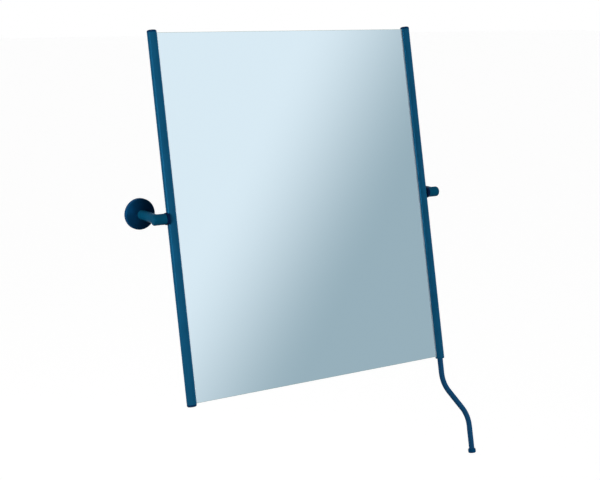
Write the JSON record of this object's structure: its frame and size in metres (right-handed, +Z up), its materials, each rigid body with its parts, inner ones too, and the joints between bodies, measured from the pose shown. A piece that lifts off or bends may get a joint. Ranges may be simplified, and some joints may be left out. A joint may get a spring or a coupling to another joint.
{
  "type": "pivot wall mirror",
  "caption": "Wall mirror held along both sides in slotted round tubes, which tilt on pins in angled arms on domed wall rosettes and are moved by a cranked lever at the lower right.",
  "frame": {"origin": "on the wall, midway between the two wall plates, at the height of the pivots and centred on the four screw holes", "axes": "+X to the right along the wall, +Y into the wall, +Z up"},
  "size_m": [0.617, 0.1736, 0.7773],
  "materials": {
    "mirror": "silvered glass",
    "film": "matt film",
    "gasket": "pale translucent",
    "blue_coat": "semi-gloss powder coat",
    "blue_plastic": "semi-gloss moulded",
    "dark_ring": "matt moulded",
    "steel": "bright zinc",
    "bush": "natural nylon",
    "brass": "turned"
  },
  "bodies": {
    "wall_brackets": {"left_bracket_arm": "blue_coat", "right_bracket_arm": "blue_coat", "left_wall_plate": "steel", "right_wall_plate": "steel", "left_rosette": "blue_plastic", "right_rosette": "blue_plastic", "left_pivot_bush": "bush", "right_pivot_bush": "bush", "friction_pads": "brass", "friction_screws": "steel", "arm_grub_screws": "steel"},
    "mirror": {"mirror_glass": "mirror", "splinter_film": "film", "left_side_tube": "blue_coat", "right_side_tube": "blue_coat", "left_gasket": "gasket", "right_gasket": "gasket", "left_top_cap": "blue_plastic", "right_top_cap": "blue_plastic", "left_bottom_cap": "blue_plastic", "left_pivot_block": "steel", "right_pivot_block": "steel", "left_pivot_pin": "steel", "right_pivot_pin": "steel", "left_saddle_ring": "dark_ring", "right_saddle_ring": "dark_ring", "left_friction_washer": "dark_ring", "right_friction_washer": "dark_ring", "lever_socket": "blue_coat", "lever_cross_pin": "steel", "lever_rod": "blue_coat", "lever_tip": "blue_plastic"}
  },
  "joints": [
    {"name": "mirror_tilt", "type": "hinge", "parent": "wall_brackets", "child": "mirror", "pos_m": [0, -0.07, 0], "axis": [1, 0, 0], "range_deg": [0, 18.5]}
  ]
}
